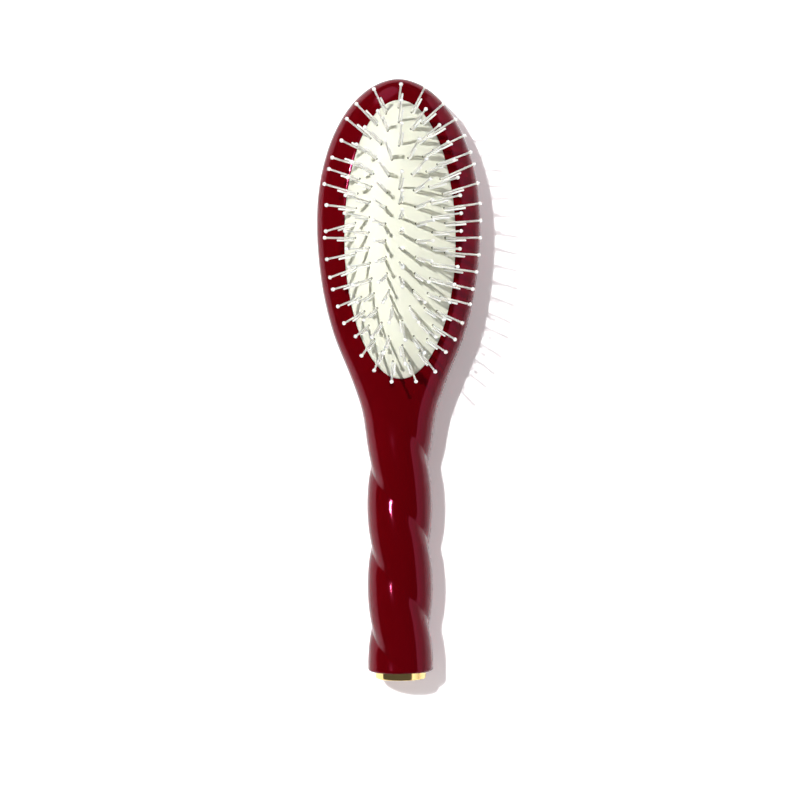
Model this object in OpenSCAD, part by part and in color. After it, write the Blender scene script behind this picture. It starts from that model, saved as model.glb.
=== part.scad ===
// Detangling brush. An oval head carries an air-filled rubber cushion with bent, ball-tipped quills,
// and runs through a throat into a grip of two twisted strands, closed by a metal cap.
// The brush lies on its back with the head towards +Y and the quills up.
// Millimetres. The origin is on the floor, under the middle of the whole length.

/* [Head] */
// Whole length, from the tip of the head to the end cap
overall_length = 224.2; // [210:0.2:240]
// Width of the head at its widest line
head_width = 61.3; // [58:0.1:66]
// Distance from the tip of the head to its widest line
crown_reach = 53.3; // [50:0.1:58]
// Reach of the egg curve below the widest line
shoulder_reach = 70; // [66:0.5:74]
// Height of the widest line above the floor
waist_height = 15; // [13:0.25:17]
// Rise of the front face above the widest line
front_rise = 11.6; // [10.5:0.1:13]
// Half width of the flat land that the back of the head rests on
land_half = 4; // [2:0.5:6]

/* [Throat and grip] */
// Distance from the widest line to where the throat begins
throat_drop = 49; // [46:0.5:54]
// Length of the throat
throat_length = 41; // [36:1:50]
// Thickness of one strand of the grip
strand_d = 22; // [19:0.25:23]
// Distance of each strand's centre from the axis of the grip
strand_offset = 1.25; // [0.8:0.05:1.8]
// Length of one full turn of the twist
twist_pitch = 60.5; // [55:0.5:66]
// How much deeper each groove is than the meeting of two round strands
hollow_depth = 0.35; // [0:0.05:0.6]
// Rounding of the grip's end
rim_round = 1; // [0.8:0.1:2]
// Height of the grip's lowest line above the floor
grip_lift = 0.1; // [0:0.05:0.5]

/* [Cushion] */
// Width of the visible cushion
cushion_width = 41.3; // [38:0.1:43]
// Length of the visible cushion
cushion_length = 103.2; // [98:0.2:106]
// Width of the frame between the cushion and the tip of the head
tip_frame = 8.9; // [8:0.1:12]
// Rise of the cushion's crown above its edge
crown_rise = 4.5; // [3:0.25:8]
// Thickness of the rubber
rubber = 1.5; // [1.2:0.1:1.8]
// How far the lip reaches under the frame
lip_reach = 1.35; // [1:0.05:1.6]
// Thickness of the lip
lip_thickness = 1.4; // [1:0.1:1.6]
// Depth of the lip's top below the cushion's edge
lip_drop = 1.5; // [1.4:0.1:2]
// Depth of the recess below the cushion's edge
recess_depth = 9; // [8:0.25:11]

/* [Quills] */
// Thickness of a quill
quill_d = 0.75; // [0.5:0.05:0.8]
// Diameter of the ball on a quill's long leg
ball_d = 1.5; // [1.2:0.05:2]
// Length of the long leg above the cushion, to the middle of its ball
long_leg = 19; // [15:0.25:21]
// Length of the short leg above the cushion
short_leg = 11; // [7:0.25:13]
// Distance between the two legs of one quill
leg_spacing = 0.9; // [0.85:0.05:1.2]
// Thickness of the sheet that the quills are rooted in
backing = 1.2; // [1:0.1:1.5]
// Quills in the outer ring
outer_count = 39; // [30:1:40]
// Quills in the middle ring
middle_count = 32; // [24:2:34]
// Quills in the inner ring
inner_count = 22; // [16:2:24]
// Quills in the row along the middle
centre_count = 7; // [4:1:8]

/* [End cap] */
// Diameter of the end cap
cap_d = 19.1; // [17:0.1:20]
// Thickness of the end cap
cap_thickness = 2.8; // [2:0.1:3.5]
// Rounding of the end cap's edge
cap_round = 0.5; // [0.3:0.1:0.8]
// Diameter of the stud that holds the cap
stud_d = 4; // [3:0.25:5]
// Length of the stud inside the grip
stud_reach = 8; // [6:0.5:12]
// Wall of the threaded insert around the stud
insert_wall = 1.2; // [0.8:0.1:2]

/* [Clearances] */
// Gap around the cushion and its lip
cushion_fit = 0.15; // [0.1:0.01:0.25]
// Gap between the cushion and the quills' backing, and around each quill in its hole
quill_gap = 0.2; // [0.15:0.01:0.3]
// Gap between neighbouring backing pieces
backing_gap = 0.4; // [0.3:0.05:0.6]
// Radial gap of the stud and of the insert in their holes
stud_fit = 0.05; // [0.02:0.01:0.1]

/* [Hidden] */

// How far a cut runs past the face that it opens
overrun = 0.5;
// Sides of round pieces
round_sides = 48;

// Lines across the brush, from the tip down
tip_y = overall_length / 2;
butt_y = -overall_length / 2;
grip_end_y = butt_y + cap_thickness;
widest_y = tip_y - crown_reach;
throat_y = widest_y - throat_drop;
grip_y = throat_y - throat_length;
head_half = head_width / 2;
strand_r = strand_d / 2;
grip_z = strand_r + strand_offset + grip_lift;

// Roundness of the head's cross-section, in front and behind, and along the head
front_power = 2.25;
back_power = 2.3;
crown_power = 3.65;
back_crown_power = 2.6;

// Places along the head, as shares of the crown's reach past the widest line, plus towards the tip
bulge_share = -0.26;
back_crown_share = -0.17;
front_level_share = -0.45;
back_level_share = -0.55;
// Places along the throat, as shares of its length from the grip
axis_level_share = 1.24;
front_foot_share = -0.1;
back_foot_share = 0.14;
section_foot_share = 0.26;
section_head_share = 1.24;

bulge_y = widest_y + bulge_share * crown_reach;
back_crown_y = widest_y + back_crown_share * crown_reach;
front_level_y = widest_y + front_level_share * crown_reach;
back_level_y = widest_y + back_level_share * crown_reach;
axis_level_y = grip_y + axis_level_share * throat_length;
front_foot_y = grip_y + front_foot_share * throat_length;
back_foot_y = grip_y + back_foot_share * throat_length;
section_foot_y = grip_y + section_foot_share * throat_length;
section_head_y = grip_y + section_head_share * throat_length;

// The grooves face the sides a little way below the start of the grip, and the twist fades out
// over a share of a turn above that
groove_share = -0.022;
fade_share = 0.4;
// Angle about the axis over which this hollow thins out
hollow_angle = 26;
groove_y = grip_y + groove_share * twist_pitch;
fade_y = groove_y + fade_share * twist_pitch;

function smooth(t) = let (c = min(1, max(0, t))) c * c * (3 - 2 * c);
function ramp(y, low, high) = smooth((y - low) / (high - low));
function mix(a, b, t) = a + (b - a) * t;
function arch(t, power) = pow(max(0, 1 - pow(min(1, abs(t)), power)), 1 / power);
function signed_pow(v, power) = sign(v) * pow(abs(v), power);

// Half width of the outline: two ellipse quarters, then a curve that levels out at the grip
throat_ratio = throat_drop / shoulder_reach;
throat_half = head_half * arch(throat_ratio, 2);
throat_slope = head_half / shoulder_reach * throat_ratio / arch(throat_ratio, 2);
function throat_curve(t) =
    throat_half * (1 - 3 * t * t + 2 * t * t * t)
    - throat_slope * throat_length * (t - 2 * t * t + t * t * t)
    + strand_r * (3 * t * t - 2 * t * t * t);
function half_width(y) =
    y >= widest_y ? head_half * arch((y - widest_y) / crown_reach, 2)
    : y >= throat_y ? head_half * arch((widest_y - y) / shoulder_reach, 2)
    : y >= grip_y ? throat_curve((throat_y - y) / throat_length)
    : strand_r;

// Height of the middle line of the section, and of its front and back faces on the centre line
land_cut = waist_height * (1 - arch(land_half / head_half, back_power));
function middle_z(y) = mix(grip_z, waist_height, ramp(y, grip_y, axis_level_y));
function front_z(y) =
    y >= bulge_y ? waist_height + front_rise * arch((y - bulge_y) / (tip_y - bulge_y), crown_power)
    : mix(grip_z + strand_r, waist_height + front_rise, ramp(y, front_foot_y, front_level_y));
function back_z(y) =
    y >= back_crown_y ? waist_height - (waist_height + land_cut)
        * arch((y - back_crown_y) / (tip_y - back_crown_y), back_crown_power)
    : mix(grip_z - strand_r, -land_cut, ramp(y, back_foot_y, back_level_y));

// Two strands side by side turn about the axis, and the reach of their joint outline, less a
// hollow along each groove, tells how far a point lies from the axis
function twist_share(y) = ramp(fade_y - y, 0, fade_y - grip_y);
function groove_angle(y) = 180 + 360 * (min(y, fade_y) - groove_y) / twist_pitch;
function strand_reach(angle, y) =
    let (
        away = asin(abs(sin(angle - groove_angle(y)))),
        e = strand_offset * twist_share(y),
        s = e * cos(away)
    )
    e * sin(away) + sqrt(strand_r * strand_r - s * s)
    - hollow_depth * twist_share(y) * exp(-pow(away / hollow_angle, 2));
function rounding(y) =
    let (d = min(rim_round, y - grip_end_y), r = rim_round)
    r - sqrt(r * r - (r - d) * (r - d));

// One point of the body's skin at an angle about the axis: 0 is +X and 90 the front
function skin_point(angle, y) =
    let (
        round_share = 1 - ramp(y, section_foot_y, section_head_y),
        power = mix(sin(angle) > 0 ? front_power : back_power, 2, round_share),
        grow = (strand_reach(angle, y) - rounding(y)) / strand_r,
        rise = sin(angle) > 0 ? front_z(y) - middle_z(y) : middle_z(y) - back_z(y)
    )
    [
        half_width(y) * signed_pow(cos(angle), 2 / power) * grow,
        y,
        middle_z(y) + rise * signed_pow(sin(angle), 2 / power) * grow
    ];
// The same front face, as a height over a point of the plan
function front_face(x, y) =
    middle_z(y) + (front_z(y) - middle_z(y)) * arch(x / half_width(y), front_power);

// Rings of the body: closer together towards the tip, even over the head, closer over the twist,
// and close again over the rounded end
skin_sides = 40;
tip_rings = 10;
head_rings = 17;
twist_rings = 34;
end_rings = 3;
first_tip_angle = 1.5;
skin_rings = concat(
    [for (i = [0:tip_rings - 1])
        widest_y + crown_reach * cos(first_tip_angle + i * (90 - first_tip_angle) / tip_rings)],
    [for (i = [0:head_rings - 1]) mix(widest_y, fade_y, i / head_rings)],
    [for (i = [0:twist_rings - 1]) mix(fade_y, grip_end_y + rim_round, i / twist_rings)],
    [for (i = [0:end_rings]) grip_end_y + rim_round * (1 - sin(90 * i / end_rings))]
);

// A closed skin over a stack of rings with the same number of points: the rows between the rings
// are triangles, and the first and last rings are closed by flat faces
function ring_skin(rings, sides) = concat(
    [for (i = [0:rings - 2], j = [0:sides - 1], half = [0, 1])
        let (k = (j + 1) % sides, a = i * sides, b = a + sides)
        half == 0 ? [a + j, b + j, b + k] : [a + j, b + k, a + k]],
    [[for (j = [0:sides - 1]) j]],
    [[for (j = [sides - 1:-1:0]) (rings - 1) * sides + j]]
);

// The cushion's level lines are ovals with one focus row: each is named by its half width
cushion_half = cushion_width / 2;
cushion_reach = cushion_length / 2;
cushion_y = tip_y - tip_frame - cushion_reach;
edge_z = front_face(cushion_half, cushion_y);
row_share = 0.323;
oval_power = 0.64;
shift_share = 0.038;
shift_power = 6;
dome_power = 2.2;
row_half = row_share * cushion_reach;
row_y = cushion_y + shift_share * cushion_reach;
function oval_reach(a) =
    a > cushion_half ? cushion_reach + a - cushion_half
    : mix(row_half, cushion_reach, pow(a / cushion_half, oval_power));
function oval_y(a) = mix(row_y, cushion_y, pow(min(1, a / cushion_half), shift_power));
function oval_point(a, u) = [a * cos(u), oval_y(a) + oval_reach(a) * sin(u)];
function dome_z(a) = edge_z + crown_rise * (1 - pow(min(1, a / cushion_half), dome_power));

// Closed skin around a profile of [half width of the oval, height] pairs
oval_sides = 40;
function oval_ring(a, z) =
    [for (j = [0:oval_sides - 1]) let (p = oval_point(a, -360 * j / oval_sides)) [p[0], p[1], z]];
function oval_points(profile) = [for (p = profile, q = oval_ring(p[0], p[1])) q];
module oval_solid(profile) {
    polyhedron(points = oval_points(profile), faces = ring_skin(len(profile), oval_sides));
}
// A closed loop of such pairs makes a ring with an oval hole
function loop_faces(rings, sides) =
    [for (i = [0:rings - 1], j = [0:sides - 1], half = [0, 1])
        let (k = (j + 1) % sides, a = i * sides, b = ((i + 1) % rings) * sides)
        half == 0 ? [a + j, b + j, b + k] : [a + j, b + k, a + k]];
module oval_loop(profile) {
    polyhedron(points = oval_points(profile), faces = loop_faces(len(profile), oval_sides));
}
module oval_block(a, low, high) {
    translate([0, 0, low]) linear_extrude(high - low)
        polygon([for (j = [0:oval_sides - 1]) oval_point(a, 360 * j / oval_sides)]);
}

// Recess and groove in the head
recess_half = cushion_half;
recess_floor = edge_z - recess_depth;
lip_top = edge_z - lip_drop;
lip_bottom = lip_top - lip_thickness;
skirt_half = recess_half - cushion_fit;

// Dome of the cushion, from the crown to the edge
crown_flat_share = 0.05;
dome_steps = 8;
dome_halves = [for (i = [0:dome_steps])
    mix(crown_flat_share * cushion_half, skirt_half, i / dome_steps)];
under_half = skirt_half - rubber;
under_halves = [for (i = [0:dome_steps])
    mix(crown_flat_share * cushion_half, under_half, i / dome_steps)];
cushion_profile = concat(
    [for (a = dome_halves) [a, dome_z(a)]],
    [[skirt_half, lip_top], [skirt_half + lip_reach, lip_top],
        [skirt_half + lip_reach, lip_bottom], [under_half, lip_bottom]],
    [for (i = [dome_steps:-1:0]) [under_halves[i], dome_z(under_halves[i]) - rubber]]
);

// Rings of quills: half width of each ring's oval, as a share of the cushion's, the lean of its
// quills at the sides and at the ends, and the outer edge of its piece of backing
outer_share = 0.825;
middle_share = 0.587;
inner_share = 0.294;
outer_lean = [36, 19.5];
middle_lean = [27.5, 17.5];
inner_lean = [14, 19];
centre_lean = [0, 12];
backing_edge_shares = [0.14, 0.4, 0.66, 0.9];
// The sideways lean grows towards the tip, and the lengthwise lean is less there than at the throat
side_gain_share = 0.25;
end_bias_share = -0.15;
// The outer quills that were bent in use: [place in the ring, stray clockwise, stray outwards], the
// strays as shares of the long leg
stray_shares = [[1, -0.06, 0.04], [6, -0.1, 0], [7, -0.06, 0], [14, -0.04, 0.04], [17, -0.06, -0.03],
    [18, 0, 0.06], [23, 0.04, -0.1], [27, -0.1, 0], [28, -0.08, 0], [30, -0.2, -0.04],
    [31, -0.03, -0.06], [32, 0.04, 0.06], [34, -0.06, 0], [35, -0.04, -0.08], [36, 0.04, 0.04],
    [37, 0, 0.08], [38, 0, 0.08]];
// Stretch of a ring, as shares of its way round from the top, whose short legs stand before the
// long ones
turned_shares = [0.5, 0.86];
arc_steps = 180;

// Each quill is [foot on the cushion, direction of its legs, step to its short leg]
function lean_vector(u, lean) =
    let (
        x = sin(lean[0]) * cos(u) * (1 + side_gain_share * sin(u)),
        y = sin(lean[1]) * (sin(u) + end_bias_share)
    )
    [x, y, sqrt(1 - x * x - y * y)];
function unit(v) = v / norm(v);
function quill(a, u, lean, share, stray) =
    let (
        p = oval_point(a, u),
        along = unit([a * sin(u), -oval_reach(a) * cos(u), 0]),
        outwards = [-along[1], along[0], 0],
        d = unit(lean_vector(u, lean) + stray[1] * along + stray[2] * outwards),
        side = unit(along - (along * d) * d),
        turn = share > turned_shares[0] && share < turned_shares[1] ? -1 : 1
    )
    [[p[0], p[1], dome_z(a)], d, side * turn * leg_spacing];

// Running length of an oval from its top, clockwise, against the angle
function arc_table(a) =
    [for (i = 0, s = 0; i <= arc_steps;
        s = s + norm(oval_point(a, 90 - 360 * i / arc_steps)
            - oval_point(a, 90 - 360 * (i + 1) / arc_steps)),
        i = i + 1) [s, 90 - 360 * i / arc_steps]];
function stray_of(i, strays) = concat([for (s = strays) if (s[0] == i) s], [[i, 0, 0]])[0];
function ring_quills(a, count, lean, strays) =
    let (table = arc_table(a), whole = table[arc_steps][0])
    [for (i = [0:count - 1])
        quill(a, lookup(i / count * whole, table), lean, i / count, stray_of(i, strays))];
function row_quills(count, lean) =
    [for (i = [0:count - 1])
        let (t = 2 * i / (count - 1) - 1, y = sin(lean[1]) * t, d = [0, y, sqrt(1 - y * y)])
        [[0, row_y + t * row_half, dome_z(0)], d, [leg_spacing, 0, 0]]];

outer_quills = ring_quills(outer_share * cushion_half, outer_count, outer_lean, stray_shares);
middle_quills = ring_quills(middle_share * cushion_half, middle_count, middle_lean, []);
inner_quills = ring_quills(inner_share * cushion_half, inner_count, inner_lean, []);
centre_quills = row_quills(centre_count, centre_lean);
all_quills = concat(outer_quills, middle_quills, inner_quills, centre_quills);

// A strand with four sides along a direction: [height, radius] of each ring, then its point
function strand_ring(foot, d, h, r) =
    let (side = unit(cross(d, [0, 1, 0])), front = cross(d, side))
    [for (j = [0:3]) foot + d * h + r * (side * cos(90 * j) + front * sin(90 * j))];
module strand(foot, d, stations) {
    polyhedron(
        points = [for (s = stations, p = strand_ring(foot, d, s[0], s[1])) p],
        faces = ring_skin(len(stations), 4)
    );
}
quill_r = quill_d / 2;
ball_r = ball_d / 2;
// How far the legs go down into the backing, and the ball's rings as shares of its radius
root_depth = rubber + quill_gap + backing / 2;
neck_share = 0.8;
belly_share = 0.3;
tip_share = 0.95;
top_share = 0.35;
module long_leg_of(q) {
    root = root_depth / q[1][2];
    strand(q[0] - q[2] / 2, q[1], [
        [-root, quill_r], [long_leg - neck_share * ball_r, quill_r],
        [long_leg - belly_share * ball_r, ball_r], [long_leg + belly_share * ball_r, ball_r],
        [long_leg + tip_share * ball_r, top_share * ball_r]
    ]);
}
module short_leg_of(q) {
    root = root_depth / q[1][2];
    strand(q[0] + q[2] / 2, q[1], [[-root, quill_r], [short_leg, quill_r]]);
}
// Hole in the rubber for both legs of a quill
module quill_hole(q) {
    reach = (rubber + quill_gap) / q[1][2];
    half = (leg_spacing + quill_d) / 2 + quill_gap;
    side = unit(q[2]);
    front = cross(q[1], side);
    corners = [for (s = [[1, 1], [-1, 1], [-1, -1], [1, -1]])
        side * s[0] * half + front * s[1] * (quill_r + quill_gap)];
    polyhedron(
        points = [for (h = [-2 * reach, reach], c = corners) q[0] + q[1] * h + c],
        faces = ring_skin(2, 4)
    );
}

// A ring of quills on its own piece of the backing
backing_steps = 2;
module quill_ring(quills, inner_edge, outer_edge) {
    halves = [for (i = [0:backing_steps])
        mix(inner_edge + backing_gap / 2, outer_edge - backing_gap / 2, i / backing_steps)];
    drop = rubber + quill_gap;
    profile = concat(
        [for (a = halves) [a, dome_z(a) - drop]],
        [for (i = [backing_steps:-1:0]) [halves[i], dome_z(halves[i]) - drop - backing]]
    );
    union() {
        oval_loop(profile);
        for (q = quills) {
            long_leg_of(q);
            short_leg_of(q);
        }
    }
}
function backing_edge(i) = backing_edge_shares[i] * cushion_half;

insert_r = stud_d / 2 + stud_fit + insert_wall;
cap_socket = cap_thickness / 2;
module along_grip(y) {
    translate([0, y, grip_z]) rotate([90, 0, 0]) children();
}

module handle_body() {
    color("#6e0410") difference() {
        polyhedron(
            points = [for (y = skin_rings, j = [0:skin_sides - 1])
                skin_point(groove_angle(y) + 360 * j / skin_sides, y)],
            faces = ring_skin(len(skin_rings), skin_sides)
        );
        oval_block(recess_half, recess_floor, waist_height + front_rise + overrun);
        oval_block(recess_half + lip_reach, lip_bottom - cushion_fit, lip_top + cushion_fit);
        translate([-head_half, butt_y, -head_half])
            cube([head_width, overall_length, head_half]);
        along_grip(grip_end_y + stud_reach + stud_fit)
            cylinder(h = stud_reach + stud_fit + overrun, r = insert_r + stud_fit, $fn = round_sides);
    }
}
module cushion_pad() {
    color("#f6f3df") difference() {
        oval_solid(cushion_profile);
        for (q = all_quills) quill_hole(q);
    }
}
module quills_outer() {
    color("#f4f4f2") quill_ring(outer_quills, backing_edge(2), backing_edge(3));
}
module quills_middle() {
    color("#f4f4f2") quill_ring(middle_quills, backing_edge(1), backing_edge(2));
}
module quills_inner() {
    color("#f4f4f2") quill_ring(inner_quills, backing_edge(0), backing_edge(1));
}
module quills_centre() {
    color("#f4f4f2") union() {
        oval_block(backing_edge(0) - backing_gap / 2,
            dome_z(0) - rubber - quill_gap - backing, dome_z(0) - rubber - quill_gap);
        for (q = centre_quills) {
            long_leg_of(q);
            short_leg_of(q);
        }
    }
}
module end_cap() {
    color("#d9b24a") along_grip(grip_end_y) difference() {
        rotate_extrude($fn = round_sides) union() {
            square([cap_d / 2 - cap_round, cap_thickness]);
            square([cap_d / 2, cap_thickness - cap_round]);
            translate([cap_d / 2 - cap_round, cap_thickness - cap_round])
                circle(r = cap_round, $fn = round_sides);
        }
        translate([0, 0, -overrun])
            cylinder(h = cap_socket + overrun, r = stud_d / 2 + stud_fit, $fn = round_sides);
    }
}
module cap_stud() {
    color("silver") along_grip(grip_end_y + stud_reach)
        cylinder(h = stud_reach + cap_socket, r = stud_d / 2, $fn = round_sides);
}
module cap_insert() {
    color("#b8923a") along_grip(grip_end_y + stud_reach) difference() {
        cylinder(h = stud_reach, r = insert_r, $fn = round_sides);
        translate([0, 0, -overrun])
            cylinder(h = stud_reach + 2 * overrun, r = stud_d / 2 + stud_fit, $fn = round_sides);
    }
}

handle_body();
cushion_pad();
quills_outer();
quills_middle();
quills_inner();
quills_centre();
end_cap();
cap_stud();
cap_insert();
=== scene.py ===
"""Looks of a detangling brush, built around its packed construction model.

The brush lies on its back: +Y runs from the end cap to the tip of the head, +Z up out of the front,
and the floor is at height 0. Sizes are in metres and are the construction model's own.
"""

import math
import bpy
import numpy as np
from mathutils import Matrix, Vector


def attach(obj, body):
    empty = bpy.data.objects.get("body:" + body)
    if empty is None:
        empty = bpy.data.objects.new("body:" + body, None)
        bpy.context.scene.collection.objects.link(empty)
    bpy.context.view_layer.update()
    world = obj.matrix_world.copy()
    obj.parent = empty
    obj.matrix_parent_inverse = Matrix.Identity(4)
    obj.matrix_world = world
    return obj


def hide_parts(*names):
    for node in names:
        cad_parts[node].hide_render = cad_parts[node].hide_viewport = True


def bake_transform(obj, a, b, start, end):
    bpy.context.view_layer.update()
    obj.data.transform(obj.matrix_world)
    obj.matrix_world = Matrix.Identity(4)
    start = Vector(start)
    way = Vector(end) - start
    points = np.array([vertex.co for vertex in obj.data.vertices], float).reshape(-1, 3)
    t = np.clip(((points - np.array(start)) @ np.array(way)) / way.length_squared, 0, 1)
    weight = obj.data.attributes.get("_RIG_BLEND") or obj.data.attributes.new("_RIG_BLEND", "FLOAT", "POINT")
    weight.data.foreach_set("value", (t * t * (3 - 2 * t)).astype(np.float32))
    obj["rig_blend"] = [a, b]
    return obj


bl_info = {
    "name": "Detangling Brush",
    "version": (1, 0, 0),
    "blender": (4, 5, 0),
    "location": "3D View > Sidebar > Brush",
    "description": "Builds the surfaces, materials and stage of a cushion brush",
    "category": "Add Mesh",
}

from types import SimpleNamespace

import bmesh
import bpy
import numpy as np
from bpy.props import FloatProperty, FloatVectorProperty, IntProperty, PointerProperty
from mathutils import Matrix, Vector

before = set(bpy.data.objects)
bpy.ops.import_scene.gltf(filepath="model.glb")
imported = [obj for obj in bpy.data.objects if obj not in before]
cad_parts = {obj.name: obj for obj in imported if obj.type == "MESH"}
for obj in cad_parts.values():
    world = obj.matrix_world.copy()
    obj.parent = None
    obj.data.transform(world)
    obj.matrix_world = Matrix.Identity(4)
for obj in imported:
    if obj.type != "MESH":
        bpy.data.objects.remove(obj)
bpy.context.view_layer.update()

# Points closer than this are one point
WELD = 1e-7
# Faces that meet at more than this keep a hard edge
HARD_EDGE = math.radians(50)

# Roundness of the head's section in front and behind, and along the head towards its tip
FRONT_POWER = 2.25
BACK_POWER = 2.3
CROWN_POWER = 3.65
BACK_CROWN_POWER = 2.6
# Places along the head, as shares of the crown's reach past the widest line
HEAD_SHARES = {
    "bulge_y": -0.26,
    "back_crown_y": -0.17,
    "front_level_y": -0.45,
    "back_level_y": -0.55,
}
# Places along the throat, as shares of its length from the grip
THROAT_SHARES = {
    "axis_level_y": 1.24,
    "front_foot_y": -0.1,
    "back_foot_y": 0.14,
    "section_foot_y": 0.26,
    "section_head_y": 1.24,
}
# Where the groove faces the side, as a share of a turn from the grip's start, and how far past
# that it has faded out
GROOVE_SHARE = -0.022
FADE_SHARE = 0.4
# Angle about the axis over which the hollow along a groove thins out
HOLLOW_ANGLE = math.radians(26)
# The cushion's ovals: the row that they shrink to, how they stretch, and the dome over them
ROW_SHARE = 0.323
OVAL_POWER = 0.64
SHIFT_SHARE = 0.038
SHIFT_POWER = 6
DOME_POWER = 2.2
# Rings of quills and the outer edges of the backing pieces, as shares of the cushion's half width
RING_SHARES = {"outer": 0.825, "middle": 0.587, "inner": 0.294}
BACKING_SHARES = (0.14, 0.4, 0.66, 0.9)
# How much the sideways lean grows towards the head's tip, and how far a whole ring leans along the
# brush, as shares of its leans
SIDE_GAIN_SHARE = 0.25
END_BIAS_SHARE = -0.15
# The outer quills that were bent in use: [place in the ring, stray clockwise, stray outwards], the
# strays as shares of the long leg
STRAY_SHARES = (
    (1, -0.06, 0.04), (6, -0.1, 0), (7, -0.06, 0), (14, -0.04, 0.04), (17, -0.06, -0.03),
    (18, 0, 0.06), (23, 0.04, -0.1), (27, -0.1, 0), (28, -0.08, 0), (30, -0.2, -0.04),
    (31, -0.03, -0.06), (32, 0.04, 0.06), (34, -0.06, 0), (35, -0.04, -0.08), (36, 0.04, 0.04),
    (37, 0, 0.08), (38, 0, 0.08),
)
# Stretch of each ring, as shares of the way round, whose short legs stand before the long ones
TURNED_SHARES = (0.5, 0.86)


def length(label, text, default, lowest=0.0):
    """A length in metres for the sidebar."""
    return FloatProperty(
        name=label, description=text, default=default, min=lowest, precision=5, unit="LENGTH"
    )


def location(label, text, default):
    """A place in metres for the sidebar."""
    return FloatVectorProperty(name=label, description=text, default=default, size=3, unit="LENGTH")


def watts(label, text, default):
    """A lamp's power for the sidebar."""
    return FloatProperty(name=label, description=text, default=default, min=0.0, unit="POWER")


def turn(label, text, degrees):
    """An angle for the sidebar, written in degrees."""
    return FloatProperty(
        name=label, description=text, default=math.radians(degrees), subtype="ANGLE"
    )


def amount(label, text, default):
    """A plain number for the sidebar."""
    return FloatProperty(name=label, description=text, default=default, min=0.0, max=10.0)


def count(label, text, default):
    """A whole number for the sidebar."""
    return IntProperty(name=label, description=text, default=default, min=1)


def colour(label, text, default):
    """A colour for the sidebar, in linear light."""
    return FloatVectorProperty(
        name=label, description=text, default=default, size=3, min=0.0, max=1.0, subtype="COLOR"
    )


class BodySizes(bpy.types.PropertyGroup):
    overall_length: length("Length", "From the tip of the head to the end cap", 0.2242)
    head_width: length("Head width", "Width at the widest line of the head", 0.0613)
    crown_reach: length("Crown", "From the tip of the head to its widest line", 0.0533)
    shoulder_reach: length("Shoulder", "Reach of the curve below the widest line", 0.07)
    waist_height: length("Waist height", "Height of the widest line above the floor", 0.015)
    front_rise: length("Front rise", "Rise of the front face above the widest line", 0.0116)
    land_half: length("Land", "Half width of the flat that the head rests on", 0.004)
    edge_round: length("Frame edge", "Rounding of the edge round the cushion", 0.00005)
    throat_drop: length("Throat start", "From the widest line to the throat", 0.049)
    throat_length: length("Throat length", "Length of the throat", 0.041)
    strand_d: length("Strand", "Thickness of one strand of the grip", 0.022)
    strand_offset: length("Strand offset", "From the grip's axis to a strand's", 0.00125)
    twist_pitch: length("Twist pitch", "Length of one full turn of the twist", 0.0605)
    hollow_depth: length("Hollow", "Extra depth of each groove", 0.00035)
    rim_round: length("Grip end", "Rounding of the grip's end", 0.001)
    grip_lift: length("Grip lift", "Height of the grip's lowest line", 0.0001)


class CushionSizes(bpy.types.PropertyGroup):
    width: length("Width", "Width of the visible cushion", 0.0413)
    reach: length("Length", "Length of the visible cushion", 0.1032)
    tip_frame: length("Tip frame", "Frame between the cushion and the head's tip", 0.0089)
    crown_rise: length("Crown", "Rise of the crown above the edge", 0.0045)
    rubber: length("Rubber", "Thickness of the rubber", 0.0015)
    lip_reach: length("Lip reach", "How far the lip goes under the frame", 0.00135)
    lip_thickness: length("Lip thickness", "Thickness of the lip", 0.0014)
    lip_drop: length("Lip drop", "Depth of the lip below the cushion's edge", 0.0015)
    recess_depth: length("Recess depth", "Depth of the recess below the edge", 0.009)
    fit: length("Fit", "Gap around the cushion and its lip", 0.00015)
    hole_r: length("Hole", "Radius of the hole that a quill comes out of", 0.00042)
    hole_shift: length("Hole shift", "From a quill's foot back to its hole", 0.0004)
    hole_reach: length("Hole reach", "How far round a foot the rubber is drawn", 0.0014)
    dimple: length("Dimple", "How far the rubber dips around a foot", 0.00004)


class QuillSizes(bpy.types.PropertyGroup):
    quill_d: length("Quill", "Thickness of a quill", 0.00075)
    ball_d: length("Ball", "Diameter of the ball on the long leg", 0.0015)
    long_leg: length("Long leg", "From the cushion to the middle of the ball", 0.019)
    short_leg: length("Short leg", "Length of the short leg above the cushion", 0.011)
    leg_spacing: length("Leg spacing", "Between the two legs of a quill", 0.0009)
    backing: length("Backing", "Thickness of the sheet that holds the roots", 0.0012)
    backing_gap: length("Backing gap", "Between neighbouring backing pieces", 0.0004)
    gap: length("Gap", "Between the rubber and the backing", 0.0002)
    outer_count: count("Outer ring", "Quills in the outer ring", 39)
    middle_count: count("Middle ring", "Quills in the middle ring", 32)
    inner_count: count("Inner ring", "Quills in the inner ring", 22)
    centre_count: count("Centre row", "Quills in the row along the middle", 7)
    outer_side: turn("Outer side lean", "Lean of the outer ring at the sides", 36)
    outer_end: turn("Outer end lean", "Lean of the outer ring at the ends", 19.5)
    middle_side: turn("Middle side lean", "Lean of the middle ring at the sides", 27.5)
    middle_end: turn("Middle end lean", "Lean of the middle ring at the ends", 17.5)
    inner_side: turn("Inner side lean", "Lean of the inner ring at the sides", 14)
    inner_end: turn("Inner end lean", "Lean of the inner ring at the ends", 19)
    centre_end: turn("Centre end lean", "Lean of the centre row at its ends", 12)


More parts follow.
